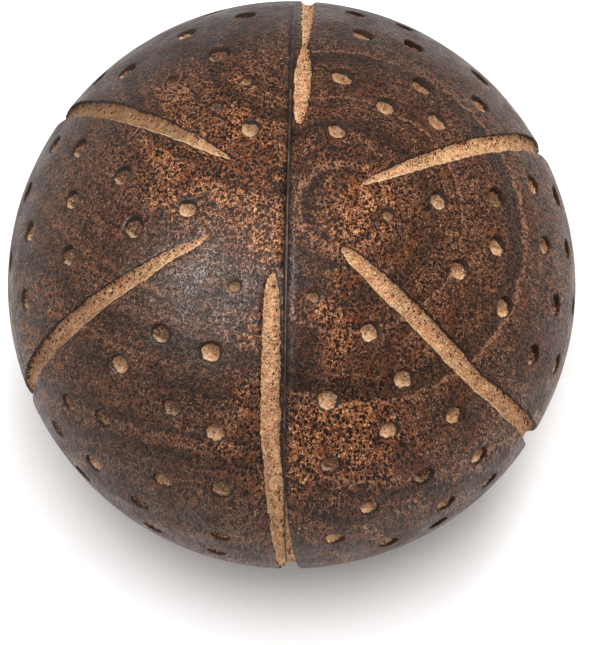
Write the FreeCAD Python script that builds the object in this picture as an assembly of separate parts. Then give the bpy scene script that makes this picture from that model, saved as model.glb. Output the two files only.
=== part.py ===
"""Hand-held ball shaker of turned and carved wood, with loose seeds inside.

A hollow wooden ball is made as two half shells, glued together on an upright seam with the
seeds already inside.  Six gouged grooves run down it like the ribs of a gourd, and shallow
round pits are scattered between them.  The ball stands on a small sanded flat.

Frame: millimetres, +Z up, the origin in the middle of the flat that the ball stands on.
The seam lies in the YZ plane, so the left half shell is on -X and the right one on +X.
Places on the ball are given in degrees as (colatitude, azimuth): colatitude is counted down
from the top of the ball, and azimuth anticlockwise from +X, seen from above.
"""
import FreeCAD, Part
import math
import os

from FreeCAD import Matrix, Placement, Rotation, Vector

# ---- driving dimensions ----
BALL_RADIUS = 40.0
WALL = 7.0
FLAT_RADIUS = 9.0           # of the flat that it stands on
GLUE_THICKNESS = 0.25       # of the glue line between the half shells
GOUGE_RADIUS = 1.4
FULL = GOUGE_RADIUS         # half the width of a stroke that takes half the gouge
PIT_TOOL_RADIUS = 1.75      # of the round burr that makes the pits
PIT_DEPTHS = (0.75, 0.95, 0.85)     # taken in turn
SHALLOW_PIT_DEPTH = 0.3
SEED_DIAMETER = 5.5
SEED_SCAR_RADIUS = 0.9      # of the flat scar where a seed grew on its stalk
SEED_GAP = 0.35             # between a seed and the wall, where it rests and where it stops
SEED_LANE_GAP = 0.5         # between the upright lanes that the seeds travel in
SEED_SPREAD = 2.7           # how far out the lanes reach, in the distance between two lanes
SCAR_COLATITUDES = (25, 155)    # the scars face all ways between these, in degrees
GOLDEN_TURN = 137.5         # from one seed's scar to the next, in degrees
GOLDEN_SHARE = 0.618

ASKEW = Vector(0.3, 0.5, 0.8)   # along no pit's and no scar's own direction
TOUCHING = 1e-6             # shapes this near to each other meet

CAVITY_RADIUS = BALL_RADIUS - WALL
CENTRE = Vector(0, 0, math.sqrt(BALL_RADIUS ** 2 - FLAT_RADIUS ** 2))

# ---- the grooves ----
# Each groove goes down to the underside at its own azimuth on the ball's equator.  It is cut
# in one or two strokes of the gouge.  A stroke is (colatitude, azimuth) of where it starts and
# where it ends, and half its width midway.  Every stroke is met by its twin, the same stroke
# turned half a turn about the groove's point on the equator, unless it crosses the equator
# and is its own twin.
GROOVES = [
    # azimuth on the equator, strokes
    (28, [((14, 13), (166, 43), FULL)]),
    (88, [((16, 83), (40, 86), 1.2), ((29, 85), (151, 91), 1.1)]),
    (147, [((13, 144), (167, 150), FULL)]),
    (204, [((16, 205), (164, 203), FULL)]),
    (270, [((15, 260), (59, 267), FULL), ((45, 266), (101, 271), FULL)]),
    (328, [((14, 318), (61, 322), FULL), ((44, 319), (136, 337), FULL)]),
]

# ---- the pits ----
# Six sectors lie between the grooves.  Each has the azimuth of its middle, its pits as
# (colatitude, degrees from the sector's middle), and the pits that were hardly started.
# The underside of a sector repeats the pits of the sector opposite, turned over, down from
# UNDERSIDE_FROM degrees below the equator.
SECTORS = [
    (58, [(18, 0), (31, 12), (30, -9), (48, 13), (42, -10), (38, -23), (60, 18), (54, 1),
          (54, -21), (65, 7), (67, -13), (76, -1), (80, 17), (81, -22), (88, 9), (90, -9)],
         []),
    (117, [(17, 0), (40, -4), (55, -15), (55, 0), (56, 17), (69, 20), (67, -9), (72, 6),
           (82, -18), (86, 16), (84, -3)],
          [(29, -9), (26, 8), (40, 13)]),
    (175, [(20, 9), (32, 12), (36, -8), (49, -2), (52, -17), (50, 13), (65, -19), (65, 2),
           (72, -9), (69, 16), (80, 4), (83, -16), (88, 14), (90, -4)],
          []),
    (237, [(37, -12), (34, 6), (49, -16), (49, 2), (50, 15), (63, -12), (69, -21), (64, 19),
           (68, 6), (82, -21), (79, -10), (81, 2), (81, 20), (92, -13), (93, 5), (92, 19)],
          [(20, 3)]),
    (299, [(31, 5), (41, -16), (43, 7), (52, -2), (56, -18), (58, 14), (71, -11), (68, 2),
           (74, 15), (80, -19), (83, 5), (90, -8), (89, 16), (93, 3)],
          [(20, -13)]),
    (358, [(31, 7), (38, -15), (46, 11), (46, -3), (52, -17), (60, 17), (62, 3), (70, -8),
           (67, -21), (75, 6), (73, 17), (81, -17), (85, -3), (88, 14)],
          [(20, -4)]),
]
UNDERSIDE_FROM = 10


def direction(colatitude, azimuth):
    """The unit vector from the ball's centre to a place on the ball."""
    down = math.radians(colatitude)
    round_ = math.radians(azimuth)
    return Vector(math.sin(down) * math.cos(round_), math.sin(down) * math.sin(round_),
                  math.cos(down))


def aimed(shape, x_direction, z_direction, base):
    """The shape with its own X and Z axes turned to the two directions, and moved to base."""
    x_direction = Vector(x_direction).normalize()
    z_direction = Vector(z_direction).normalize()
    turn = Rotation(x_direction, z_direction.cross(x_direction), z_direction, "ZXY")
    shape.Placement = Placement(base, turn)
    return shape


def gouge_stroke(start, end, half_width):
    """The ring that a stroke of the gouge cuts away: it enters the ball at start, is deepest
    midway, and leaves it at end, so the groove is pointed at both ends."""
    first = direction(*start)
    last = direction(*end)
    middle = (first + last).normalize()
    half_arc = middle.getAngle(first)
    # how far the gouge's own middle runs from the ball's centre: midway, and where it only
    # just touches the ball
    midway = BALL_RADIUS + math.sqrt(GOUGE_RADIUS ** 2 - half_width ** 2)
    touching = BALL_RADIUS + GOUGE_RADIUS
    drift = (touching ** 2 - midway ** 2) / 2 / (midway - touching * math.cos(half_arc))
    ring = Part.makeTorus(midway + drift, GOUGE_RADIUS)
    return aimed(ring, -middle, first.cross(last), CENTRE - middle * drift)


def groove_strokes(equator_azimuth, strokes):
    """The cutting rings of one groove, twins included."""
    rings = []
    for start, end, half_width in strokes:
        rings.append(gouge_stroke(start, end, half_width))
        twin_start, twin_end = [(180 - colatitude, 2 * equator_azimuth - azimuth)
                                for colatitude, azimuth in (end, start)]
        if (twin_start, twin_end) != (start, end):
            rings.append(gouge_stroke(twin_start, twin_end, half_width))
    return rings


def pit(place, depth):
    """The ball-shaped burr at a pit of this depth."""
    outward = direction(*place)
    burr = Part.makeSphere(PIT_TOOL_RADIUS)
    return aimed(burr, outward, outward.cross(ASKEW),
                 CENTRE + outward * (BALL_RADIUS + PIT_TOOL_RADIUS - depth))


def sector_places(sector, started_only):
    """The places of a sector's pits on the upper side, and of its opposite's turned over."""
    middle, pits, barely_started = SECTORS[sector]
    opposite = SECTORS[(sector + 3) % len(SECTORS)]
    own = barely_started if started_only else pits
    turned = opposite[2] if started_only else opposite[1]
    places = [(colatitude, middle + offset) for colatitude, offset in own]
    places += [(180 - colatitude, middle - offset) for colatitude, offset in turned
               if colatitude <= 90 - UNDERSIDE_FROM]
    return places


def cutters():
    """Everything that is carved out of the ball."""
    rings = [ring for equator_azimuth, strokes in GROOVES
             for ring in groove_strokes(equator_azimuth, strokes)]
    burrs = []
    for sector in range(len(SECTORS)):
        for number, place in enumerate(sector_places(sector, started_only=False)):
            burrs.append(pit(place, PIT_DEPTHS[number % len(PIT_DEPTHS)]))
        burrs += [pit(place, SHALLOW_PIT_DEPTH)
                  for place in sector_places(sector, started_only=True)]
    return rings, burrs


def slab(x_low, x_high):
    """The space between two upright planes across X, above the standing flat."""
    side = 3 * BALL_RADIUS
    return Part.makeBox(x_high - x_low, side, side, Vector(x_low, -side / 2, 0))


def carved(piece, rings, burrs):
    """The piece of shell with the grooves and pits cut into it."""
    for ring in rings:
        if ring.BoundBox.intersect(piece.BoundBox):
            piece = piece.cut(ring)
    near = [burr for burr in burrs if burr.distToShape(piece)[0] < TOUCHING]
    return piece.cut(near) if near else piece


def hollow_ball():
    """The uncarved ball and its cavity.  The poles of both spheres lie on the X axis, so the
    seam's planes cut them along plain circles."""
    outside = aimed(Part.makeSphere(BALL_RADIUS), Vector(0, 0, -1), Vector(1, 0, 0), CENTRE)
    inside = aimed(Part.makeSphere(CAVITY_RADIUS), Vector(0, 0, -1), Vector(1, 0, 0), CENTRE)
    return outside.cut(inside)


def seed_lanes():
    """The upright lanes of the seeds, as (x, y), nearest the middle first: a honeycomb, because
    the seeds lie packed in the bottom of the cavity."""
    pitch = SEED_DIAMETER + SEED_LANE_GAP
    rings = math.ceil(SEED_SPREAD)
    lanes = []
    for row in range(-rings, rings + 1):
        for step in range(-2 * rings, 2 * rings + 1):
            x = (step + row / 2) * pitch
            y = row * pitch * math.sqrt(3) / 2
            if math.hypot(x, y) < SEED_SPREAD * pitch:
                lanes.append((round(math.hypot(x, y), 3), math.atan2(y, x), x, y))
    return [(x, y) for _, _, x, y in sorted(lanes)]


def seed_half_travel(x, y):
    """How far above and below the cavity's centre a seed's own centre can go in its lane."""
    reach = CAVITY_RADIUS - SEED_DIAMETER / 2 - SEED_GAP
    return math.sqrt(reach ** 2 - x ** 2 - y ** 2)


def seed(number, x, y):
    """A hard round seed with a flat scar, lying any way up."""
    middle = CENTRE + Vector(x, y, -seed_half_travel(x, y))
    radius = SEED_DIAMETER / 2
    scar_height = math.sqrt(radius ** 2 - SEED_SCAR_RADIUS ** 2)
    blank = Part.makeBox(2 * radius, 2 * radius, radius + scar_height,
                         Vector(-radius, -radius, -radius))
    body = Part.makeSphere(radius).common(blank)
    lowest, highest = SCAR_COLATITUDES
    scar_side = direction(lowest + (highest - lowest) * (number * GOLDEN_SHARE % 1),
                          GOLDEN_TURN * number)
    return aimed(body, scar_side.cross(ASKEW), scar_side, middle)


def write(name, shape):
    """One STEP file for a node, after a check that it is one sound solid."""
    solid = shape.Solids[0]
    if len(shape.Solids) != 1 or not solid.isValid():
        raise ValueError(f"{name} isn't one valid solid: {len(shape.Solids)}")
    solid.exportStep(os.path.join("parts", name + ".step"))
    print(f"{name:12s} {solid.Volume / 1000:8.3f} cm3  {len(solid.Faces):4d} faces")


def main():
    os.makedirs("parts", exist_ok=True)
    ball = hollow_ball()
    rings, burrs = cutters()
    half_glue = GLUE_THICKNESS / 2
    pieces = {
        "left_shell": slab(-2 * BALL_RADIUS, -half_glue),
        "right_shell": slab(half_glue, 2 * BALL_RADIUS),
        "glue_line": slab(-half_glue, half_glue),
    }
    for name, space in pieces.items():
        write(name, carved(ball.common(space), rings, burrs))
    for number, (x, y) in enumerate(seed_lanes(), start=1):
        write(f"seed_{number:02d}", seed(number, x, y))
        travel = 2 * seed_half_travel(x, y)
        print(f"    lane at x {x:7.3f}  y {y:7.3f}  travel {travel:7.3f}")


main()
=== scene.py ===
"""Looks of the hand-held ball shaker: two carved and charred half shells with the glue line
between them, the loose seeds inside, and a pale studio floor.

The carving is read from the frame's own shells: the edges where grooves and pits break the
ball's surface, and how deep they are.  Each half shell is then made again as a fine closed
mesh with the gouge's chatter marks, uneven rims and chipped pits.  Lengths are in millimetres
unless a comment says otherwise, and angles in degrees.
"""

import itertools
import math

import bmesh
import bpy
import numpy as np
from mathutils import Matrix, Vector
from mathutils.bvhtree import BVHTree
from mathutils.kdtree import KDTree


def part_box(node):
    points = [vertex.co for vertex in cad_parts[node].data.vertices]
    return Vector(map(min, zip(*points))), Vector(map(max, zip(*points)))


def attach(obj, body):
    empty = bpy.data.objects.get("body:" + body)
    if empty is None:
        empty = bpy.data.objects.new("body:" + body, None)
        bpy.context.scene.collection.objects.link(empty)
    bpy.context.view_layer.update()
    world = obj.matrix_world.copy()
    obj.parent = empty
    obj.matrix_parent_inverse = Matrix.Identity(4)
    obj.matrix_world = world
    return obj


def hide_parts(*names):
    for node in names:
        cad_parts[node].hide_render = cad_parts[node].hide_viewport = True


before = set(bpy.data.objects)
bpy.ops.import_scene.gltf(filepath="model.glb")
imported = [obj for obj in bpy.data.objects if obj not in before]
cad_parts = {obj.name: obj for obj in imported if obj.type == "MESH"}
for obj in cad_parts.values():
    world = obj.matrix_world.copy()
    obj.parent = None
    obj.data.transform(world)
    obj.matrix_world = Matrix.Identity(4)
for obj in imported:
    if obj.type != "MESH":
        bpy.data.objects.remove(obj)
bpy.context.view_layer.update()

# ---------------------------------------------------------------- measures of the frame, mm
MM = 0.001
SHELLS = ("left_shell", "right_shell", "glue_line")
BALL_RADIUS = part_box("right_shell")[1].x / MM
CENTRE = np.array([0.0, 0.0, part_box("glue_line")[1].z / MM - BALL_RADIUS])
HALF_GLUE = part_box("right_shell")[0].x / MM
FLAT_HEIGHT = -CENTRE[2]            # of the standing flat, from the ball's centre

# ---------------------------------------------------------------- how the surface is made, mm
GRID = 122                  # faces along a half shell's coarse mesh
FINE_CUTS = 3               # cuts in the edge of a face that meets the carving
FINE_BAND = 0.25            # of fine faces outside a rim
CAVITY_GRID = 44
SURFACE_WAVES = 0.10        # how far hand sanding left the ball uneven
RIM_WANDER = 0.15           # how far a rim wanders from the frame's
RIM_TEETH = 0.11            # and the teeth that the gouge tore in it
GROOVE_DEPTH = 1.12         # of the flat floor, where a groove is widest
GROOVE_STEEPER = 1.35       # how much steeper its walls are than the frame's
PIT_DEEPENED = 1.2          # how much deeper the pits are than the frame's
PIT_LARGEST = 5.0           # across the rim of a pit; larger rims are grooves
PIT_SMALLEST = 1.0          # across; anything smaller is a nick between two cuts
FAINT_PIT_RADIUS = 1.15     # pits that were hardly started are smaller than this
RIM_SAMPLE = 0.08           # between the points that stand for a groove's rim
CHATTER_DEPTH = 0.07
CHATTER_LENGTH = 0.62
RIM_ON_BALL = 0.012         # how near to the ball's own surface a rim's corners lie
SHARP_COSINE = 0.985        # two faces that turn more than this meet in an edge
FACET_ERROR = 0.04          # how far the frame's facets may lie under the ball they stand for
SEAM_MARGIN = 0.01          # edges this near to the seam or the standing flat are no rims
ABOVE_BALL = 2.0            # where the rays that feel for the carving start
FAR = 9.0                   # stands for the distance to a groove where it doesn't matter
RIM_WORN = 0.05             # how far a rim is rubbed down,
RIM_WORN_WIDTH = 0.3        # and over what width
GLUE_SUNK = 0.02            # how far the glue lies under the wood beside it
GLUE_STEPS = 2400           # round the glue line
RIDGE_HEIGHT = 0.12         # of the ridges that the lathe left in the cavity,
RIDGE_SPACING = 2.2         # and from one to the next
GOLDEN_SHARE = 0.618        # steps of this size spread values evenly between 0 and 1
GOLDEN_TURN = 137.5         # the same, round a circle
LEAN_TURN = 2.4             # radians from the way that one pit leans to the next one's


# ================================================================ random but repeatable shapes
def value_noise(points, seed):
    """Smooth random numbers from -1 to 1 at points (n, 3), which change over one unit.  Each
    corner of the unit lattice has its own number, scrambled from its place and the seed."""
    cell = np.floor(points).astype(np.int64)
    part = points - cell
    part = part * part * (3 - 2 * part)
    total = np.zeros(len(points))
    for corner in itertools.product((0, 1), repeat=3):
        weight = np.where(corner, part, 1 - part).prod(axis=1)
        at = cell + corner
        key = ((at[:, 0] * 73856093) ^ (at[:, 1] * 19349663) ^ (at[:, 2] * 83492791)
               ^ (seed * 5741))
        key = ((key ^ (key >> 13)) * 1274126177) & 0x7FFFFFFF
        key = ((key ^ (key >> 16)) * 48271) & 0x7FFFFFFF
        total += weight * ((key % 65521) / 32760 - 1)
    return total


def noise_vectors(points, seed):
    return np.stack([value_noise(points, seed + axis) for axis in range(3)], axis=1)


def smooth_step(low, high, values):
    part = np.clip((values - low) / (high - low), 0, 1)
    return part * part * (3 - 2 * part)


def unit(vectors):
    return vectors / np.linalg.norm(vectors, axis=-1, keepdims=True)


# ================================================================ the carving, from the frame
def cad_surface(name):
    """Corners, in mm from the ball's centre, and triangles of a CAD node, welded."""
    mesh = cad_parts[name].data
    mesh.calc_loop_triangles()
    corners = np.empty(len(mesh.vertices) * 3, np.float32)
    mesh.vertices.foreach_get("co", corners)
    triangles = np.empty(len(mesh.loop_triangles) * 3, np.int32)
    mesh.loop_triangles.foreach_get("vertices", triangles)
    corners = corners.reshape(-1, 3).astype(float) / MM - CENTRE
    _, first, welded = np.unique(np.round(corners, 3), axis=0, return_index=True,
                                 return_inverse=True)
    triangles = welded.reshape(-1)[triangles].reshape(-1, 3)
    whole = ((triangles[:, 0] != triangles[:, 1]) & (triangles[:, 1] != triangles[:, 2])
             & (triangles[:, 2] != triangles[:, 0]))
    return corners[first], triangles[whole]


def rim_edges(corners, triangles):
    """Pairs of corners of every edge where the carving breaks the ball's surface."""
    a, b, c = (corners[triangles[:, i]] for i in range(3))
    normals = np.cross(b - a, c - a)
    normals /= np.maximum(np.linalg.norm(normals, axis=1, keepdims=True), 1e-12)
    edges = np.sort(np.concatenate([triangles[:, [0, 1]], triangles[:, [1, 2]],
                                    triangles[:, [2, 0]]]), axis=1)
    faces = np.tile(np.arange(len(triangles)), 3)
    order = np.lexsort((edges[:, 1], edges[:, 0]))
    edges, faces = edges[order], faces[order]
    pair = np.flatnonzero((edges[1:] == edges[:-1]).all(axis=1))
    turn = (normals[faces[pair]] * normals[faces[pair + 1]]).sum(axis=1)
    sharp = edges[pair[turn < SHARP_COSINE]]
    on_ball = np.abs(np.linalg.norm(corners, axis=1) - BALL_RADIUS) < RIM_ON_BALL
    off_seam = np.abs(corners[:, 0]) > HALF_GLUE + SEAM_MARGIN
    off_flat = corners[:, 2] > FLAT_HEIGHT + SEAM_MARGIN
    wanted = on_ball & off_seam & off_flat
    return sharp[wanted[sharp].all(axis=1)]


def chains(edges):
    """The edges, gathered into lists that are joined end to end."""
    leader = {}

    def lead(corner):
        while leader.setdefault(corner, corner) != corner:
            leader[corner] = leader[leader[corner]]
            corner = leader[corner]
        return corner

    for first, second in edges.tolist():
        leader[lead(first)] = lead(second)
    groups = {}
    for first, second in edges.tolist():
        groups.setdefault(lead(first), []).append((first, second))
    return [np.array(group) for _, group in sorted(groups.items())]


class Carving:
    """Where the grooves and pits of the frame are, asked by direction from the ball's centre."""

    def __init__(self):
        groove_points, self.pit_middles, self.pit_radii = [], [], []
        all_corners, all_triangles = [], []
        for name in SHELLS:
            corners, triangles = cad_surface(name)
            all_triangles.append(triangles + sum(len(c) for c in all_corners))
            all_corners.append(corners)
            if name == "glue_line":
                continue
            for edges in chains(rim_edges(corners, triangles)):
                rim = corners[edges].reshape(-1, 3)
                across = np.ptp(rim, axis=0).max()
                if across < PIT_SMALLEST:
                    continue
                if across < PIT_LARGEST:
                    middle = unit(rim.mean(axis=0))
                    self.pit_middles.append(middle)
                    self.pit_radii.append(np.linalg.norm(np.cross(rim, middle), axis=1).mean())
                else:
                    groove_points.append(self.along(corners[edges]))
        corners = np.concatenate(all_corners)
        self.tree = BVHTree.FromPolygons(corners.tolist(),
                                         np.concatenate(all_triangles).tolist())
        self.cavity_radius = np.linalg.norm(corners, axis=1).min()
        self.groove_tree = self.point_tree(np.concatenate(groove_points))
        self.pit_radii = np.array(self.pit_radii)
        self.pit_middles = np.array(self.pit_middles)
        self.pit_tree = self.point_tree(self.pit_middles * BALL_RADIUS)

    @staticmethod
    def along(ends):
        """Points no more than RIM_SAMPLE apart along edges (n, 2, 3)."""
        length = np.linalg.norm(ends[:, 1] - ends[:, 0], axis=1)
        points = []
        for (start, end), steps in zip(ends, np.ceil(length / RIM_SAMPLE).astype(int)):
            share = np.linspace(0, 1, max(steps, 1), endpoint=False)[:, None]
            points.append(start + (end - start) * share)
        return np.concatenate(points)

    @staticmethod
    def point_tree(points):
        tree = KDTree(len(points))
        for number, point in enumerate(points.tolist()):
            tree.insert(point, number)
        tree.balance()
        return tree

    def depth(self, directions):
        """How far the frame's surface lies under the ball's, in mm."""
        start = BALL_RADIUS + ABOVE_BALL
        found = np.zeros(len(directions))
        for number, direction in enumerate(directions.tolist()):
            toward = Vector(direction)
            hit = self.tree.ray_cast(toward * start, -toward, 2 * WALL)
            if hit[3] is not None:
                found[number] = max(0.0, hit[3] - ABOVE_BALL)
        return found

    def rims(self, directions):
        """(mm to the nearest groove's rim, mm outside the nearest pit's rim, which pit, the
        nearest place on that groove's rim)."""
        groove = np.empty(len(directions))
        pit = np.empty(len(directions))
        which = np.empty(len(directions), int)
        rim_places = np.empty((len(directions), 3))
        for number, point in enumerate((directions * BALL_RADIUS).tolist()):
            rim_places[number], _, groove[number] = self.groove_tree.find(point)
            _, which[number], away = self.pit_tree.find(point)
            pit[number] = away - self.pit_radii[which[number]]
        return groove, pit, which, rim_places


WALL = BALL_RADIUS - np.linalg.norm(cad_surface("glue_line")[0], axis=1).min()
carving = Carving()


# ================================================================ the carved surface
# Places where the char is rubbed thin (amount above 0) or whole (below 0), and where it is
# scuffed grey: (colatitude, azimuth) in degrees, radius in mm, amount.
WORN_PLACES = (
    (9, 128, 5, .35), (6, 206, 5, .35), (11, 242, 4, .30), (27, 254, 3.5, .42),
    (40, 257, 3.5, .38), (22, 285, 4, .40), (13, 351, 5, .30), (13, 26, 4, .25),
    (18, 2, 4, .35), (16, 316, 4, .25), (30, 288, 4, .25), (30, 130, 7, .20),
    (18, 117, 4, .25), (32, 149, 7, .18), (25, 176, 6, .20), (20, 157, 5, .25),
    (46, 283, 8, .22), (53, 292, 7, .22), (55, 274, 6, .20), (38, 107, 6, .18),
    (45, 135, 6, .25), (52, 254, 3, .35), (61, 262, 4, .18), (57, 196, 4, .25),
    (69, 200, 4, .30), (67, 296, 7, .10), (3, 14, 2.5, -.4), (14, 283, 2.5, -.45),
    (28, 279, 2.5, -.4), (34, 277, 2.5, -.4), (33, 247, 4, -.3), (42, 247, 4, -.3),
    (39, 234, 6, -.3), (47, 211, 7, -.3), (59, 223, 8, -.3), (69, 239, 10, -.25),
    (45, 182, 6, -.3), (55, 171, 6, -.3), (37, 296, 3, -.2), (44, 338, 8, -.15),
    (55, 336, 8, -.2), (31, 75, 8, -.1),
)
GREY_PLACES = (
    (25, 346, 5, .8), (23, 6, 4, .6), (22, 228, 5, .5), (32, 203, 5, .5), (45, 182, 6, .6),
    (55, 171, 6, .6), (44, 338, 7, .5), (51, 37, 7, .5), (38, 52, 6, .5), (73, 213, 8, .6),
    (78, 252, 8, .6), (69, 239, 6, .5),
)
NARROW_GROOVE_PLACES = (    # where a groove's rims lie inside the frame's; amounts are mm
    (38, 86, 4, .25), (60, 87, 8, .10), (78, 88, 8, .15), (28, 263, 6, .10),
)
DEEP_CHAR_AND_SHADE_PLACES = (    # burnt nearly black; the five large patches low on the ball's sides are painted shade that dims the lamps' light and sheen there
    (66, 90, 26, .70), (62, 55, 16, .40), (58, 125, 14, .40), (75, 150, 16, .35),
    (82, 245, 16, .35),
    (8, 10, 3, .5), (16, 284, 3, .5), (28, 279, 3, .5), (35, 277, 3, .5),
    (40, 245, 5, .3), (34, 300, 4, .3), (35, 235, 7, .25),
)
BROWN_CUT_PLACES = (    # where the floors of pits and grooves are brown rather than pale
    (50, 175, 16, .7), (75, 200, 14, .5), (50, 120, 14, .5), (75, 350, 14, .4),
    (75, 20, 14, .4), (60, 70, 14, .5), (35, 146, 9, .8), (52, 147, 9, .9), (68, 147, 9, .8),
    (52, 232, 16, .45), (74, 255, 16, .4), (76, 292, 12, .35), (30, 230, 6, .4),
)
SHADE_SIDE = unit(np.array([0.45, 0.85, 0.0]))  # points toward the key lamp: cut walls and lips on this side are painted as shade, on the other side as lit


def way(colatitude, azimuth):
    """The unit vector to a place on a ball from its centre."""
    down, round_ = math.radians(colatitude), math.radians(azimuth)
    return np.array([math.sin(down) * math.cos(round_), math.sin(down) * math.sin(round_),
                     math.cos(down)])


def patches(points, places):
    """The summed amounts of soft round patches at points."""
    total = np.zeros(len(points))
    for colatitude, azimuth, radius, amount in places:
        away = np.linalg.norm(points - way(colatitude, azimuth) * BALL_RADIUS, axis=1)
        total += amount * np.exp(-(away / radius) ** 2)
    return total


def along_meridian(directions):
    """Millimetres down the ball from its top: the way that the grooves run."""
    return np.arccos(np.clip(directions[:, 2], -1, 1)) * BALL_RADIUS


def groove_floor(depth, groove, points, down):
    """How deep the grooves are cut: steeper walls than the frame's half round and a flatter
    floor, with gouge chatter."""
    beat = down / CHATTER_LENGTH + 0.6 * value_noise(points / 1.5, 23)
    chatter = np.abs((beat % 1) * 2 - 1) - 0.5
    chatter *= 0.5 + 0.5 * value_noise(points / 3.5, 29)
    cut = (GROOVE_DEPTH * np.tanh(depth * GROOVE_STEEPER / GROOVE_DEPTH)
           + CHATTER_DEPTH * chatter)
    cut += 0.06 * value_noise(points / 0.8, 31)
    return cut * smooth_step(0.0, 0.10, groove)


def pit_floor(depth, pit, which, points):
    """How deep the pits are cut: bowls, some deeper than others, that lean and are chipped."""
    number = which.astype(float)
    deeper = PIT_DEEPENED * (0.9 + 0.3 * ((number * GOLDEN_SHARE) % 1))
    turn = number * LEAN_TURN
    lean = np.stack([np.cos(turn), np.sin(turn), np.full(len(points), 0.2)], axis=1)
    tilt = ((points - carving.pit_middles[which] * BALL_RADIUS) * unit(lean)).sum(axis=1)
    rough = (0.10 * tilt + 0.10 * value_noise(points / 0.55, 37)
             + 0.05 * value_noise(points / 0.3, 38))
    return (depth * deeper + rough * smooth_step(0.0, 0.4, pit)) * np.clip(pit / 0.10, 0, 1)


def carved_surface(directions):
    """The carved ball's surface in those directions: places in mm from its centre, and what
    the material needs to know there."""
    points = directions * BALL_RADIUS
    wander = (noise_vectors(points / 2.1, 11) * RIM_WANDER
              + noise_vectors(points / 0.6, 17) * RIM_TEETH)
    felt = unit(points + wander)
    groove, pit, which, rim_places = carving.rims(felt)
    depth = carving.depth(felt)
    in_pit = pit < 0
    carved = depth > FACET_ERROR
    groove = np.where(carved & ~in_pit, -groove, np.where(carved, FAR, groove))
    groove += patches(points, NARROW_GROOVE_PLACES)
    in_groove = groove < 0
    cut = np.where(in_pit, pit_floor(depth, -pit, which, points),
                   np.where(in_groove, groove_floor(depth, -groove, points,
                                                    along_meridian(felt)), 0))
    edge = np.minimum(groove, pit)
    waves = SURFACE_WAVES * (0.5 + 0.35 * value_noise(points / 9, 41)
                             + 0.15 * value_noise(points / 3, 43))
    worn_rim = RIM_WORN * (1 - smooth_step(0.0, RIM_WORN_WIDTH, np.abs(edge)))
    radius = BALL_RADIUS - np.maximum(cut, 0) - waves - worn_rim
    with np.errstate(divide="ignore"):
        flat = np.where(directions[:, 2] < 0, FLAT_HEIGHT / directions[:, 2], np.inf)
    radius = np.minimum(radius, flat)

    # painted shade and highlight: how far this place is on the side of its cut toward the key
    # lamp, where the walls are painted darkest
    from_pit = (points - carving.pit_middles[which] * BALL_RADIUS) \
        / carving.pit_radii[which][:, None]
    to_rim = (rim_places - felt * BALL_RADIUS) * np.sign(-groove)[:, None]
    to_rim /= np.maximum(np.linalg.norm(to_rim, axis=1, keepdims=True), 0.05)
    is_pit = pit < groove
    side = np.where(is_pit[:, None], from_pit, to_rim) @ SHADE_SIDE
    worn = 0.26 + 0.16 * value_noise(points / 7, 47) + 0.12 * value_noise(points / 2.5, 59)
    grey = 0.30 + 0.3 * value_noise(points / 8, 71)
    return directions * radius[:, None], {
        "edge": np.clip(edge, -3, 3),
        "near_pit": is_pit.astype(float),
        "pit_tone": (which * 0.755) % 1 * 0.7
        + patches(carving.pit_middles * BALL_RADIUS, BROWN_CUT_PLACES)[which],
        "brown_cut": patches(points, BROWN_CUT_PLACES),
        "shade_side": np.clip(side, -1, 1),
        "worn": worn + patches(points, WORN_PLACES),
        "grey": np.clip(grey, 0, 1) + patches(points, GREY_PLACES),
        "deep_char_and_shade": patches(points, DEEP_CHAR_AND_SHADE_PLACES),
        "faint_pit": (is_pit & (carving.pit_radii[which] < FAINT_PIT_RADIUS)).astype(float),
    }


# ================================================================ the half shells
def square_to_half_ball(square, side):
    """Directions over half a ball, even in area, from places in a square from -1 to 1.  The
    square's border lands on the edge beside the seam."""
    u, v = square[:, 0], square[:, 1]
    steep = np.abs(v) > np.abs(u)
    reach = np.where(steep, v, u)
    with np.errstate(divide="ignore", invalid="ignore"):
        turn = np.where(steep, math.pi / 2 - (math.pi / 4) * (u / v), (math.pi / 4) * (v / u))
    turn = np.where(reach == 0, 0, turn)
    flat_x, flat_y = reach * np.cos(turn), reach * np.sin(turn)
    from_middle = flat_x ** 2 + flat_y ** 2
    toward = 1 - from_middle * (1 - HALF_GLUE / BALL_RADIUS)
    spread = np.sqrt(np.maximum(1 - toward ** 2, 0) / np.maximum(from_middle, 1e-12))
    return unit(np.stack([side * toward, flat_x * spread, flat_y * spread], axis=1))


def half_ball_grid(cells, side):
    """A bmesh of square cells over half a ball of radius 1."""
    steps = np.linspace(-1, 1, cells + 1)
    square = np.stack(np.meshgrid(steps, steps, indexing="ij"), axis=-1).reshape(-1, 2)
    grid = bmesh.new()
    corners = [grid.verts.new(place) for place in square_to_half_ball(square, side).tolist()]
    row = cells + 1
    for i, j in itertools.product(range(cells), repeat=2):
        four = [i * row + j, (i + 1) * row + j, (i + 1) * row + j + 1, i * row + j + 1]
        grid.faces.new([corners[k] for k in (four if side > 0 else reversed(four))])
    return grid


def directions_of(grid):
    return unit(np.array([vert.co[:] for vert in grid.verts]))


def refine_by_carving(grid):
    """Divides the faces that meet the carving or its rims."""
    directions = directions_of(grid)
    groove, pit, _, _ = carving.rims(directions)
    inside = carving.depth(directions) > FACET_ERROR
    near = inside | (groove < FINE_BAND) | (np.abs(pit) < FINE_BAND)
    grid.verts.index_update()
    edges = {edge for face in grid.faces if any(near[vert.index] for vert in face.verts)
             for edge in face.edges}
    bmesh.ops.subdivide_edges(grid, edges=sorted(edges, key=lambda edge: edge.index),
                              cuts=FINE_CUTS, use_grid_fill=True)
    bmesh.ops.triangulate(grid, faces=[face for face in grid.faces if len(face.verts) > 4])


def border(grid):
    """The verts round a half ball's open edge, by their angle round the X axis."""
    verts = {vert for edge in grid.edges if edge.is_boundary for vert in edge.verts}
    return sorted(verts, key=lambda vert: math.atan2(vert.co.z, vert.co.y))


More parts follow.
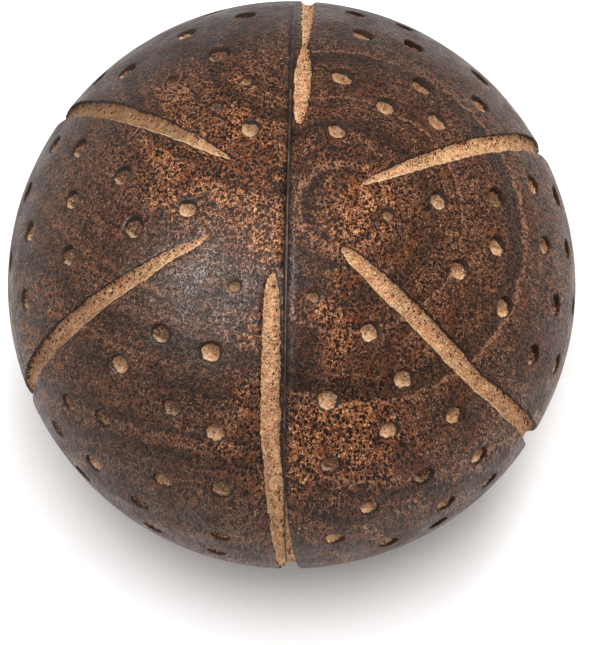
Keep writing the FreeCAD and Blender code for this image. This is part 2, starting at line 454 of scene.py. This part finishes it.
def close_ring(grid, outer, inner, flip):
    """Triangles from one ring of verts to another inside it, both in order of angle."""
    def angle(ring, number):
        vert = ring[number % len(ring)]
        return math.atan2(vert.co.z, vert.co.y) + math.tau * (number // len(ring))

    at_outer, at_inner = 0, 0
    while at_outer < len(outer) or at_inner < len(inner):
        ahead = at_inner >= len(inner) or (
            at_outer < len(outer) and angle(outer, at_outer + 1) < angle(inner, at_inner + 1))
        here = [outer[at_outer % len(outer)], inner[at_inner % len(inner)]]
        if ahead:
            at_outer += 1
            here.insert(1, outer[at_outer % len(outer)])
        else:
            at_inner += 1
            here.insert(1, inner[at_inner % len(inner)])
        grid.faces.new(here[::-1] if flip else here)


def new_piece(name, mesh, body, material, slot_name, *nodes):
    piece = bpy.data.objects.new(name, mesh)
    bpy.context.scene.collection.objects.link(piece)
    piece.data.materials.append(material)
    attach(piece, body)
    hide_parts(*nodes)
    return piece


def turned_cavity(shell, layers, side):
    """Adds the cavity's wall to a half shell, with fine ridges that the lathe left, and
    returns the ring of verts round its edge."""
    cavity = half_ball_grid(CAVITY_GRID, side)
    inward = directions_of(cavity)
    from_axis = np.arccos(np.clip(np.abs(inward[:, 0]), 0, 1)) * carving.cavity_radius
    ridges = RIDGE_HEIGHT * np.abs(((from_axis / RIDGE_SPACING) % 1) * 2 - 1)
    verts = []
    for place in (inward * (carving.cavity_radius + ridges[:, None])).tolist():
        vert = shell.verts.new(place)
        vert[layers["edge"]] = 3.0
        vert[layers["bare_inside"]] = 1.0
        verts.append(vert)
    cavity.verts.index_update()
    for face in cavity.faces:
        shell.faces.new([verts[vert.index] for vert in reversed(face.verts)])
    ring = [verts[vert.index] for vert in border(cavity)]
    cavity.free()
    return ring


def half_shell(name, side, material):
    """One carved half shell, closed: carved outside, turned cavity and flat seam face."""
    shell = half_ball_grid(GRID, side)
    refine_by_carving(shell)
    places, facts = carved_surface(directions_of(shell))
    layers = {fact: shell.verts.layers.float.new(fact) for fact in (*facts, "bare_inside")}
    for fact, values in facts.items():
        for vert, value in zip(shell.verts, values.tolist()):
            vert[layers[fact]] = value
    outer_ring = border(shell)
    for vert, place in zip(shell.verts, places.tolist()):
        vert.co = place
    inner_ring = turned_cavity(shell, layers, side)
    for vert in outer_ring + inner_ring:
        vert.co.x = side * HALF_GLUE
    close_ring(shell, outer_ring, inner_ring, flip=side < 0)
    bmesh.ops.recalc_face_normals(shell, faces=shell.faces)
    for vert in shell.verts:
        vert.co = (vert.co + Vector(CENTRE)) * MM
    mesh = bpy.data.meshes.new(name)
    shell.to_mesh(mesh)
    shell.free()
    mesh.shade_smooth()
    return new_piece(name + "_carved", mesh, "shell", material, "charred_wood", name)


# ================================================================ the glue line
def glue_film(material):
    """The film of glue in the seam, with its outer edge flush with the carved ball."""
    turn = np.linspace(0, math.tau, GLUE_STEPS, endpoint=False)
    directions = np.stack([np.zeros(GLUE_STEPS), np.cos(turn), np.sin(turn)], axis=1)
    places, _ = carved_surface(directions)
    outer = np.linalg.norm(places, axis=1) - GLUE_SUNK * (1 + value_noise(places / 1.3, 53))
    film = bmesh.new()
    rings = []
    for reach, offset in ((outer, -1), (outer, 0), (outer, 1),
                          (carving.cavity_radius, 1), (carving.cavity_radius, -1)):
        ring = directions * np.broadcast_to(reach, GLUE_STEPS)[:, None]
        ring[:, 0] = offset * HALF_GLUE
        rings.append([film.verts.new(((place + CENTRE) * MM).tolist()) for place in ring])
    for first, second in zip(rings, rings[1:] + rings[:1]):
        for number in range(GLUE_STEPS):
            after = (number + 1) % GLUE_STEPS
            film.faces.new([first[number], first[after], second[after], second[number]])
    bmesh.ops.recalc_face_normals(film, faces=film.faces)
    mesh = bpy.data.meshes.new("glue_line")
    film.to_mesh(mesh)
    film.free()
    return new_piece("glue_line_film", mesh, "shell", material, "glue", "glue_line")


# ================================================================ the seeds
SCAR_COLATITUDES = (25, 155)    # the stalk scars face all ways between these


def hard_seed(node, number, material):
    """A hard round seed in the frame's place: slightly lopsided, wrinkled, with a stalk scar."""
    low, high = (np.array(corner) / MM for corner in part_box(node))
    middle, radius = (low + high) / 2, (high - low).max() / 2
    ball = bmesh.new()
    bmesh.ops.create_icosphere(ball, subdivisions=5, radius=1)
    ways = directions_of(ball)
    lowest, highest = SCAR_COLATITUDES
    facing = ways @ way(lowest + (highest - lowest) * (number * GOLDEN_SHARE % 1),
                        GOLDEN_TURN * number)
    reach = radius * (0.985 + 0.015 * value_noise(ways * 1.3 + number, 61)
                      - 0.006 * (1 + value_noise(ways * 9 + number, 67)))
    reach -= radius * 0.06 * smooth_step(0.93, 0.965, facing)
    reach += radius * 0.05 * smooth_step(0.985, 0.998, facing)
    for vert, place in zip(ball.verts, (ways * np.minimum(reach, radius)[:, None]).tolist()):
        vert.co = (np.array(place) + middle) * MM
    mesh = bpy.data.meshes.new(node)
    ball.to_mesh(mesh)
    ball.free()
    mesh.shade_smooth()
    return new_piece(node + "_skin", mesh, node, material, "seed", node)


# ================================================================ materials
LIGHT_GAIN = 1.42           # how much lighter a wooden surface comes out than its own colour
CHAR_SHARES = (1.40, 0.98, 0.62)    # red, green and blue that char adds to the grey of its gloss


def rgb(red, green, blue, gain=LIGHT_GAIN):
    """The linear colour that comes out as this screen colour, 0 to 255, under the lamps."""
    def linear(value):
        value /= 255
        return value / 12.92 if value <= 0.04045 else ((value + 0.055) / 1.055) ** 2.4
    return (linear(red) / gain, linear(green) / gain, linear(blue) / gain, 1.0)


def char(red, green, blue):
    """The linear colour of waxed char that comes out as this screen colour: the grey of its
    gloss comes on top, so its own colour is warmer."""
    colour = rgb(red, green, blue)
    return tuple(share * value for share, value in zip(CHAR_SHARES, colour)) + (1.0,)


class Graph:
    """A material's nodes, with short calls for what these materials repeat."""

    def __init__(self, name):
        self.material = bpy.data.materials.new(name)
        self.material.use_nodes = True
        self.tree = self.material.node_tree
        self.tree.nodes.clear()

    def node(self, kind, links=None, values=None, **settings):
        node = self.tree.nodes.new(kind)
        for setting, value in settings.items():
            setattr(node, setting, value)
        for socket, value in (values or {}).items():
            node.inputs[socket].default_value = value
        for socket, source in (links or {}).items():
            self.tree.links.new(source, node.inputs[socket])
        return node

    def millimetres(self):
        place = self.node("ShaderNodeTexCoord").outputs["Object"]
        return self.node("ShaderNodeVectorMath", {0: place}, {"Scale": 1 / MM},
                         operation="SCALE").outputs[0]

    def mapped(self, place, scale=(1, 1, 1), turn=(0, 0, 0), shift=(0, 0, 0)):
        return self.node("ShaderNodeMapping", {"Vector": place},
                         {"Scale": scale, "Rotation": turn, "Location": shift}).outputs[0]

    def fact(self, name):
        return self.node("ShaderNodeAttribute", attribute_name=name).outputs["Fac"]

    def noise(self, place, scale, detail=2.0, roughness=0.5, distortion=0.0):
        return self.node("ShaderNodeTexNoise", {"Vector": place},
                         {"Scale": scale, "Detail": detail, "Roughness": roughness,
                          "Distortion": distortion}).outputs["Fac"]

    def cells(self, place, scale, feature="F1", randomness=1.0, output="Distance"):
        return self.node("ShaderNodeTexVoronoi", {"Vector": place},
                         {"Scale": scale, "Randomness": randomness},
                         feature=feature).outputs[output]

    def math(self, operation, first, second=None, third=None, clamp=False):
        node = self.node("ShaderNodeMath", operation=operation, use_clamp=clamp)
        for socket, value in enumerate((first, second, third)):
            if value is None:
                continue
            if isinstance(value, (int, float)):
                node.inputs[socket].default_value = value
            else:
                self.tree.links.new(value, node.inputs[socket])
        return node.outputs[0]

    def ramp(self, value, low, high, to_low=0.0, to_high=1.0):
        """A smooth step of value from low to high."""
        return self.node("ShaderNodeMapRange", {"Value": value},
                         {"From Min": low, "From Max": high, "To Min": to_low,
                          "To Max": to_high}, interpolation_type="SMOOTHSTEP").outputs[0]

    def mix(self, share, first, second):
        """Colour first where share is 0, second where it is 1."""
        node = self.node("ShaderNodeMix", data_type="RGBA")
        for socket, value in ((0, share), (6, first), (7, second)):
            if isinstance(value, (tuple, int, float)):
                node.inputs[socket].default_value = value
            else:
                self.tree.links.new(value, node.inputs[socket])
        return node.outputs[2]

    def bump(self, height, distance, strength=1.0, normal=None):
        links = {"Height": height}
        if normal is not None:
            links["Normal"] = normal
        return self.node("ShaderNodeBump", links,
                         {"Distance": distance * MM, "Strength": strength}).outputs[0]

    def finish(self, links, values):
        shader = self.node("ShaderNodeBsdfPrincipled", links, values)
        self.node("ShaderNodeOutputMaterial", {"Surface": shader.outputs[0]})
        return self.material


RING_SPACING = 7.5          # between the growth rings that show as an orange line


class Wood:
    """What both half shells' wood shares, built up in one node graph: where a place lies, the
    grain, and the facts that the mesh carries."""

    def __init__(self, name, shift):
        g = self.graph = Graph(name)
        self.here = g.millimetres()
        self.place = g.mapped(self.here, shift=shift)
        warp = g.node("ShaderNodeTexNoise", {"Vector": self.place},
                      {"Scale": 0.5, "Detail": 2.0}).outputs["Color"]
        self.bent = g.node("ShaderNodeVectorMath", {0: warp, 2: self.place},
                           {1: (0.9, 0.9, 0.9)}, operation="MULTIPLY_ADD").outputs[0]
        self.unshifted = g.node("ShaderNodeVectorMath", {0: warp, 2: self.here},
                                {1: (1.6, 1.6, 1.6)}, operation="MULTIPLY_ADD").outputs[0]
        self.grain = g.mapped(self.bent, scale=(1, 1, 0.14), turn=(0.10, -0.06, 0.3))
        self.apart = g.node("ShaderNodeSeparateXYZ", {"Vector": self.here}).outputs
        self.from_seam = g.math("ABSOLUTE", self.apart["X"])
        self.worn = g.fact("worn")
        self.grey = g.fact("grey")
        self.fine = g.noise(g.mapped(self.bent, scale=(1, 1, 0.22)), 2.1, detail=3.0,
                            roughness=0.7)
        self.finest = g.noise(g.mapped(self.bent, scale=(1, 1, 0.30)), 6.0, detail=1.0)
        self.mottle = g.noise(self.place, 0.34, detail=5.0, roughness=0.65)
        self.pore_pattern()
        self.edge_pattern()

    def pore_pattern(self):
        """Pores: small round tubes along the grain, of two sizes, wider in some places."""
        g = self.graph
        width = g.math("MULTIPLY", g.math("SUBTRACT", self.fine, 0.5), 0.9)
        large = g.math("ADD", g.cells(self.grain, 2.0), width)
        small = g.math("ADD", g.cells(self.grain, 3.7), width)
        self.pores = g.math("MAXIMUM", g.ramp(large, 0.50, 0.33),
                            g.math("MULTIPLY", g.ramp(small, 0.42, 0.25), 0.7))

    def edge_pattern(self):
        """Millimetres out from the nearest cut's rim, made uneven."""
        g = self.graph
        wander = g.math("MULTIPLY", g.math("SUBTRACT", g.noise(
            self.place, 3.0, detail=2.0), 0.5), 0.26)
        self.edge = g.math("ADD", g.fact("edge"), wander)
        # which side of its cut a place lies on, toward the key lamp, for the painted shade and
        # highlight
        self.shade_side = g.fact("shade_side")
        self.is_pit = g.ramp(g.fact("near_pit"), 0.4, 0.6)
        self.on_shade_side = g.ramp(self.shade_side, -0.15, 0.75)
        self.cut = g.ramp(self.edge, 0.02, -0.07)


def char_colour(wood, dark, middle, red, ring_centre, ring_share):
    """Charred skin: dark pores in a net of wood that shows orange where the char is thin."""
    g = wood.graph
    colour = g.mix(g.ramp(wood.mottle, 0.36, 0.66), dark, middle)
    red_share = g.math("MULTIPLY", g.ramp(wood.worn, 0.0, 0.9, 0.04, 0.70),
                       g.ramp(g.noise(wood.place, 0.8, detail=3.0), 0.35, 0.6, 0.45, 1.0))
    colour = g.mix(red_share, colour, red)
    colour, smooth_band = ring_lines(wood, colour, ring_centre, ring_share)

    # scuffed and waxed char is greyer, with pale flecks
    scuffed = g.math("MULTIPLY", wood.grey, g.ramp(g.noise(wood.place, 0.9, detail=3.0),
                                                   0.34, 0.60), clamp=True)
    colour = g.mix(g.math("MULTIPLY", scuffed, 0.60), colour, char(104, 82, 70))
    flecks = g.ramp(g.cells(g.mapped(wood.bent, scale=(1, 0.5, 0.6), turn=(0.3, 0.2, 0.8)),
                            1.9), 0.22, 0.09)
    colour = g.mix(g.math("MULTIPLY", g.math("MULTIPLY", flecks, wood.grey), 0.75, clamp=True),
                   colour, char(178, 156, 142))

    # the net of bare wood between the pores: red-brown, then orange, then a few painted glints
    clumps = g.noise(g.mapped(wood.bent, scale=(1, 1, 0.2)), 0.75, detail=2.0, roughness=0.6)
    level = g.math("MULTIPLY_ADD", clumps, 0.5,
                   g.math("MULTIPLY_ADD", wood.worn, 0.28, wood.fine))
    calm = g.math("MAXIMUM", smooth_band, g.ramp(g.noise(g.mapped(
        wood.bent, scale=(1, 0.5, 0.3)), 0.22, detail=2.0), 0.50, 0.62))
    level = g.math("MULTIPLY_ADD", calm, -0.17, level)
    bare = g.ramp(wood.worn, 0.28, 0.66)
    colour = g.mix(g.ramp(level, 0.74, 1.00, 0.0, 0.9), colour,
                   g.mix(bare, char(98, 66, 48), char(122, 68, 36)))
    colour = g.mix(g.ramp(level, 0.86, 1.16, 0.0, 0.95), colour,
                   g.mix(bare, rgb(146, 104, 76), rgb(202, 136, 86)))
    colour = g.mix(g.ramp(wood.finest, 0.47, 0.34, 0.0, 0.65), colour, char(26, 13, 7))
    # painted glints: bright specks that stand in for highlights on the bare wood
    glints = g.math("MULTIPLY", g.ramp(wood.finest, 0.53, 0.66),
                    g.math("MULTIPLY", g.ramp(level, 0.70, 1.08, 0.50, 1.0),
                           g.ramp(calm, 0.0, 1.0, 1.0, 0.45)))
    glint_tint = g.mix(g.ramp(wood.worn, 0.3, 0.7), rgb(200, 158, 126), rgb(252, 198, 146))
    colour = g.mix(glints, colour, glint_tint)
    pore_strength = g.ramp(wood.worn, 0.0, 0.6, 0.75, 0.97)
    colour = g.mix(g.math("MULTIPLY", wood.pores, pore_strength), colour, char(18, 9, 5))
    # near-black char in small spots, and painted shade in the large patches
    colour = g.mix(g.math("MULTIPLY", g.fact("deep_char_and_shade"), 0.8, clamp=True), colour,
                   char(26, 17, 13))
    seam_dark = g.ramp(g.math("ADD", wood.from_seam, g.math(
        "MULTIPLY", g.math("SUBTRACT", wood.fine, 0.5), 1.6)), 0.85, 0.25)
    return g.mix(g.math("MULTIPLY", seam_dark, 0.75), colour, char(26, 16, 11))


def ring_lines(wood, colour, centre, share):
    """Growth rings round an upright axis: broad faint bands, and a broken orange line here
    and there."""
    g = wood.graph
    offset = g.node("ShaderNodeVectorMath", {0: wood.unshifted}, {1: (*centre, 0)},
                    operation="SUBTRACT").outputs[0]
    flat = g.node("ShaderNodeVectorMath", {0: offset}, {1: (1, 1, 0.12)},
                  operation="MULTIPLY").outputs[0]
    out = g.node("ShaderNodeVectorMath", {0: flat}, operation="LENGTH").outputs["Value"]
    bands = g.noise(g.node("ShaderNodeCombineXYZ", {"X": out}).outputs[0], 0.42, detail=4.0,
                    roughness=0.65)
    dark_band = g.ramp(bands, 0.53, 0.42)
    colour = g.mix(g.math("MULTIPLY", dark_band, 0.80), colour, char(28, 17, 12))
    line = g.math("ABSOLUTE", g.math("SUBTRACT", g.math("FRACT", g.math(
        "MULTIPLY", out, 1 / RING_SPACING)), 0.5))
    broken = g.math("MULTIPLY", g.ramp(line, 0.045, 0.012), g.ramp(wood.fine, 0.34, 0.54))
    return g.mix(g.math("MULTIPLY", broken, share), colour, rgb(186, 130, 96)), dark_band


def groove_colour(wood):
    """Fresh wood in the grooves: pore dots, ribs across from the gouge, and burnt walls, with
    painted shade on the wall toward the key lamp and a painted highlight along the other.
    """
    g = wood.graph
    tint = g.noise(wood.place, 0.25, detail=1.0)
    blotch = g.noise(g.mapped(wood.bent, scale=(1, 1, 0.4)), 1.3, detail=5.0, roughness=0.75)
    colour = g.mix(g.ramp(blotch, 0.38, 0.60), rgb(174, 106, 66), rgb(255, 202, 146))
    colour = g.mix(g.ramp(tint, 0.4, 0.6, 0.0, 0.4), colour, rgb(218, 144, 102))
    # painted highlight specks on the groove floor
    colour = g.mix(g.ramp(wood.finest, 0.54, 0.68, 0.0, 0.9), colour, rgb(255, 226, 184))
    colour = g.mix(g.ramp(wood.finest, 0.46, 0.34, 0.0, 0.6), colour, rgb(140, 88, 54))
    colour = g.mix(g.ramp(g.fact("brown_cut"), 0.1, 0.9, 0.0, 0.60), colour, rgb(104, 72, 42))
    colour = g.mix(g.math("MULTIPLY", wood.ribs, 0.34), colour, rgb(120, 74, 46))
    # painted shade: the groove's wall toward the key lamp is coloured darker brown
    toward_shade = g.ramp(wood.shade_side, -0.6, 0.4)
    shaded = g.math("MULTIPLY", g.ramp(wood.edge, -0.7, -0.2), toward_shade)
    colour = g.mix(g.math("MULTIPLY", shaded, 0.35), colour, rgb(140, 86, 50))
    # painted highlight: the groove's wall that faces the key lamp is coloured near white
    lit_wall_highlight = g.math("MULTIPLY", g.ramp(wood.edge, -0.42, -0.22),
                    g.ramp(wood.shade_side, -0.1, -0.7))
    colour = g.mix(g.math("MULTIPLY", lit_wall_highlight, 0.55), colour, rgb(255, 224, 180))
    # pore dots, made darker on the key lamp's side as painted shade
    dots = g.math("MAXIMUM", g.ramp(g.cells(wood.grain, 1.7), 0.31, 0.23),
                  g.math("MULTIPLY", g.ramp(g.cells(wood.grain, 3.2), 0.30, 0.20), 0.8))
    colour = g.mix(g.math("MULTIPLY", dots, g.ramp(wood.shade_side, -0.6, 0.3, 0.45, 0.95)),
                   colour, rgb(54, 28, 14))
    # burnt wall all round, widened on the key lamp's side by painted shade
    inner = g.math("SUBTRACT", 0.0, g.math("MULTIPLY", wood.on_shade_side, 0.07))
    wall = g.ramp(g.math("SUBTRACT", wood.edge, inner), -0.08, 0.02)
    return g.mix(g.math("MULTIPLY", wall, 0.95), colour, rgb(30, 16, 9))


def pit_colour(wood):
    """Pits: a light chipped floor inside a burnt wall, with painted shade (browner, and a wider
    dark wall) on the side toward the key lamp and a painted highlight along the other; some
    floors are brown all over."""
    g = wood.graph
    tone = g.fact("pit_tone")
    blotch = g.noise(wood.bent, 1.7, detail=4.0, roughness=0.75)
    colour = g.mix(g.ramp(blotch, 0.38, 0.62), rgb(186, 120, 74), rgb(255, 212, 164))
    brown = g.mix(g.ramp(blotch, 0.44, 0.66), rgb(74, 42, 23), rgb(176, 126, 84))
    colour = g.mix(g.ramp(tone, 0.55, 0.80), colour, brown)
    # painted shade: the floor turns brown toward the key lamp's side, with blotches
    toward_shade = g.ramp(g.math("MULTIPLY_ADD", blotch, 0.8, wood.shade_side), -0.05, 0.70)
    colour = g.mix(g.math("MULTIPLY", toward_shade, 0.66), colour, rgb(104, 62, 36))
    # painted highlight specks on the pit floor
    colour = g.mix(g.ramp(wood.finest, 0.55, 0.70, 0.0, 0.45), colour, rgb(255, 226, 186))
    dots = g.ramp(g.cells(wood.grain, 1.7), 0.30, 0.20)
    colour = g.mix(g.math("MULTIPLY", dots, 0.7), colour, rgb(56, 30, 15))
    # painted highlight: a pale crescent on the wall that faces the key lamp
    lit_crescent = g.math("MULTIPLY", g.math("MULTIPLY", g.ramp(wood.edge, -0.75, -0.45),
                                         g.ramp(wood.shade_side, -0.25, -0.75)), 0.55)
    colour = g.mix(lit_crescent, colour, rgb(250, 214, 170))
    # burnt wall ring all round, widened on the key lamp's side by painted shade
    chipped = g.math("MULTIPLY", g.math("SUBTRACT", g.noise(wood.place, 1.6), 0.5), 0.5)
    inner = g.math("SUBTRACT", chipped, g.math("MULTIPLY_ADD", wood.on_shade_side, 0.30, 0.17))
    wall = g.ramp(g.math("SUBTRACT", wood.edge, inner), -0.08, 0.04)
    return g.mix(g.math("MULTIPLY", wall, 0.94), colour, rgb(32, 17, 10))


def bare_wood(wood):
    """The turned cavity's wall: plain pale wood with streaks along the grain."""
    g = wood.graph
    streaks = g.noise(g.mapped(wood.bent, scale=(1, 1, 0.1)), 1.2, detail=4.0)
    colour = g.mix(g.ramp(streaks, 0.35, 0.65), rgb(150, 104, 68), rgb(196, 150, 108))
    return g.mix(g.math("MULTIPLY", wood.pores, 0.5), colour, rgb(90, 54, 32))


def charred_wood(name, shift, dark, middle, red, ring_centre, ring_share):
    """Charred, waxed and carved wood whose pores run up and down: dots on top of the ball and
    streaks down its sides."""
    wood = Wood(name, shift)
    g = wood.graph
    unit_place = g.node("ShaderNodeVectorMath", {0: g.node(
        "ShaderNodeVectorMath", {0: wood.here}, {1: (0, 0, float(CENTRE[2]))},
        operation="SUBTRACT").outputs[0]}, operation="NORMALIZE").outputs[0]
    height = g.node("ShaderNodeSeparateXYZ", {"Vector": unit_place}).outputs["Z"]
    down = g.math("MULTIPLY", g.math("ARCCOSINE", height), BALL_RADIUS)
    beat = g.math("MULTIPLY_ADD", wood.fine, 14.0, g.math("MULTIPLY", down, math.tau / 0.48))
    strength = g.ramp(g.noise(wood.place, 0.13, detail=0.0), 0.44, 0.64)
    wood.ribs = g.math("MULTIPLY", g.ramp(g.math("SINE", beat), 0.1, 1.0), strength)

    colour = char_colour(wood, dark, middle, red, ring_centre, ring_share)
    # dark lip outside each rim: burnt char all round, with painted shade, wider and darker, on
    # the key lamp's side
    lip_width = g.ramp(wood.on_shade_side, 0.0, 1.0, 0.10, 0.22)
    lip_char_and_shade = g.ramp(g.math("DIVIDE", wood.edge, lip_width), 1.0, 0.35)
    halo = g.mix(wood.is_pit, rgb(26, 15, 10), rgb(62, 36, 20))
    lip_char_and_shade = g.math("MULTIPLY", lip_char_and_shade, g.ramp(wood.shade_side, -0.5, 0.3, 0.35, 0.92))
    colour = g.mix(lip_char_and_shade, colour, halo)
    fresh = g.mix(wood.is_pit, groove_colour(wood), pit_colour(wood))
    faint = g.ramp(g.fact("faint_pit"), 0.4, 0.6, 1.0, 0.42)
    colour = g.mix(g.math("MULTIPLY", wood.cut, faint), colour, fresh)
    colour = g.mix(g.fact("bare_inside"), colour, bare_wood(wood))

    relief = g.math("SUBTRACT", g.math("MULTIPLY", wood.fine, 0.5),
                    g.math("MULTIPLY", wood.pores, 0.6))
    normal = g.bump(relief, 0.20, 0.9)
    cut_relief = g.math("MULTIPLY", g.math("SUBTRACT", wood.finest, wood.ribs), wood.cut)
    normal = g.bump(cut_relief, 0.09, 0.7, normal)
    normal = g.bump(g.noise(wood.place, 0.8, detail=2.0), 0.20, 0.3, normal)
    gloss = g.ramp(g.noise(wood.place, 0.22, detail=3.0), 0.3, 0.7, 0.36, 0.52)
    roughness = g.math("MULTIPLY_ADD", wood.cut, 0.35, gloss)
    return g.finish({"Base Color": colour, "Roughness": roughness, "Normal": normal},
                    {"Specular IOR Level": 0.09})


def glue():
    g = Graph("wood_glue")
    place = g.millimetres()
    patch = g.noise(place, 0.6, detail=3.0)
    fine = g.noise(place, 3.0, detail=3.0)
    from_middle = g.math("ABSOLUTE", g.node("ShaderNodeSeparateXYZ",
                                            {"Vector": place}).outputs["X"])
    colour = g.mix(g.ramp(patch, 0.42, 0.66), rgb(40, 28, 22), rgb(104, 86, 74))
    colour = g.mix(g.ramp(fine, 0.50, 0.68, 0.0, 0.8), colour, rgb(48, 33, 26))
    colour = g.mix(g.ramp(from_middle, 0.05, 0.11, 0.0, 0.85), colour, rgb(34, 22, 16))
    return g.finish({"Base Color": colour, "Normal": g.bump(fine, 0.04),
                     "Roughness": g.ramp(fine, 0.3, 0.7, 0.4, 0.6)},
                    {"Specular IOR Level": 0.15})


def seed_skin():
    g = Graph("seed_skin")
    place = g.millimetres()
    patch = g.noise(place, 0.5, detail=4.0)
    fine = g.noise(place, 5.0, detail=3.0)
    colour = g.mix(g.ramp(patch, 0.35, 0.65), rgb(38, 22, 16), rgb(74, 42, 26))
    colour = g.mix(g.ramp(fine, 0.66, 0.8, 0.0, 0.5), colour, rgb(120, 84, 56))
    return g.finish({"Base Color": colour, "Normal": g.bump(fine, 0.05, 0.6),
                     "Roughness": g.ramp(patch, 0.3, 0.7, 0.28, 0.45)}, {})


def floor_paper():
    g = Graph("floor_paper")
    place = g.millimetres()
    fine = g.noise(place, 1.2, detail=3.0)
    colour = g.mix(fine, rgb(248, 248, 249, 1), rgb(252, 252, 252, 1))
    return g.finish({"Base Color": colour, "Normal": g.bump(fine, 0.02, 0.3)},
                    {"Roughness": 0.9, "Specular IOR Level": 0.1})


# ================================================================ floor, light and camera
FLOOR_REACH = 3.0           # metres
SKY_COLOUR = (1.0, 0.965, 0.94, 1.0)
SKY_STRENGTH = 0.50
LAMPS = (       # name, azimuth and elevation, how far away and how large in metres, watts
    ("key", 72, 50, 1.1, 0.40, 5.0),
    ("overhead", 270, 86, 1.2, 0.55, 13.5),
    ("glint", 205, 54, 0.9, 0.17, 42.0),     # seen in the gloss only
)


def studio():
    """A pale floor that runs far out, and large soft lights."""
    floor = bpy.data.meshes.new("studio_floor")
    floor.from_pydata([(x * FLOOR_REACH, y * FLOOR_REACH, 0)
                       for x, y in ((-1, -1), (1, -1), (1, 1), (-1, 1))], [], [(0, 1, 2, 3)])
    sheet = bpy.data.objects.new("studio_floor", floor)
    bpy.context.scene.collection.objects.link(sheet)
    floor.materials.append(floor_paper())

    world = bpy.data.worlds.new("studio")
    world.use_nodes = True
    background = world.node_tree.nodes["Background"]
    background.inputs["Color"].default_value = SKY_COLOUR
    background.inputs["Strength"].default_value = SKY_STRENGTH
    bpy.context.scene.world = world

    middle = Vector(CENTRE) * MM
    for name, azimuth, elevation, away, size, watts in LAMPS:
        lamp = bpy.data.lights.new(name, "AREA")
        lamp.shape = "DISK"
        lamp.size = size
        lamp.energy = watts
        holder = bpy.data.objects.new(name, lamp)
        bpy.context.scene.collection.objects.link(holder)
        turn, up = math.radians(azimuth), math.radians(elevation)
        toward = Vector((math.cos(up) * math.cos(turn), math.cos(up) * math.sin(turn),
                         math.sin(up)))
        holder.location = middle + toward * away
        holder.rotation_euler = toward.to_track_quat("Z", "Y").to_euler()
        holder.visible_diffuse = name != "glint"


CAMERA_ELEVATION = 73.2     # degrees above the floor
CAMERA_ROUND = 3.5          # degrees towards the right half shell, from square to the seam
CAMERA_ROLL = -2.4
CAMERA_AWAY = 22            # ball radii
FRAME_WIDTH, FRAME_HEIGHT = 602, 645
BALL_SHARE_OF_WIDTH = 0.944     # the ball's outline across the picture
BALL_MIDDLE = (-0.0309, 0.1166)     # from the picture's middle, in half widths and half heights
FAR_CLIP = 20               # metres


def camera():
    """The camera, nearly overhead and far off, so the ball is seen almost without
    perspective."""
    up, turn = math.radians(CAMERA_ELEVATION), math.radians(CAMERA_ROUND)
    back = Vector((math.cos(up) * math.sin(turn), -math.cos(up) * math.cos(turn),
                   math.sin(up)))
    right = Vector((0, 0, 1)).cross(back).normalized()
    roll = Matrix.Rotation(math.radians(CAMERA_ROLL), 3, back)
    right = roll @ right
    upward = back.cross(right)
    radius = BALL_RADIUS * MM
    away = CAMERA_AWAY * radius
    tangent = radius / math.sqrt(away ** 2 - radius ** 2)   # of half the angle it fills
    half_width = away * tangent / BALL_SHARE_OF_WIDTH
    half_height = half_width * FRAME_HEIGHT / FRAME_WIDTH
    target = (Vector(CENTRE) * MM - right * BALL_MIDDLE[0] * half_width
              - upward * BALL_MIDDLE[1] * half_height)
    data = bpy.data.cameras.new("camera")
    data.sensor_fit = "HORIZONTAL"
    data.lens = data.sensor_width / 2 * away / half_width
    data.clip_end = FAR_CLIP
    eye = bpy.data.objects.new("camera", data)
    bpy.context.scene.collection.objects.link(eye)
    pose = Matrix((right, upward, back)).transposed().to_4x4()
    pose.translation = target + back * away
    eye.matrix_world = pose
    bpy.context.scene.camera = eye


# ================================================================ the whole
wood_left = charred_wood("charred_wood_left", (3.0, 8.0, 0.0), char(40, 26, 19),
                         char(100, 70, 52), char(112, 66, 38), (2, 25), 0.3)
wood_right = charred_wood("charred_wood_right", (41.0, 17.0, 5.0), char(38, 22, 13),
                          char(98, 62, 42), char(118, 66, 34), (8, 0), 0.9)
half_shell("left_shell", -1, wood_left)
half_shell("right_shell", 1, wood_right)
glue_film(glue())
skin = seed_skin()
seeds = sorted(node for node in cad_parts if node.startswith("seed_"))
for number, node in enumerate(seeds):
    hard_seed(node, number, skin)
studio()
camera()
bpy.context.scene.view_settings.view_transform = "Standard"
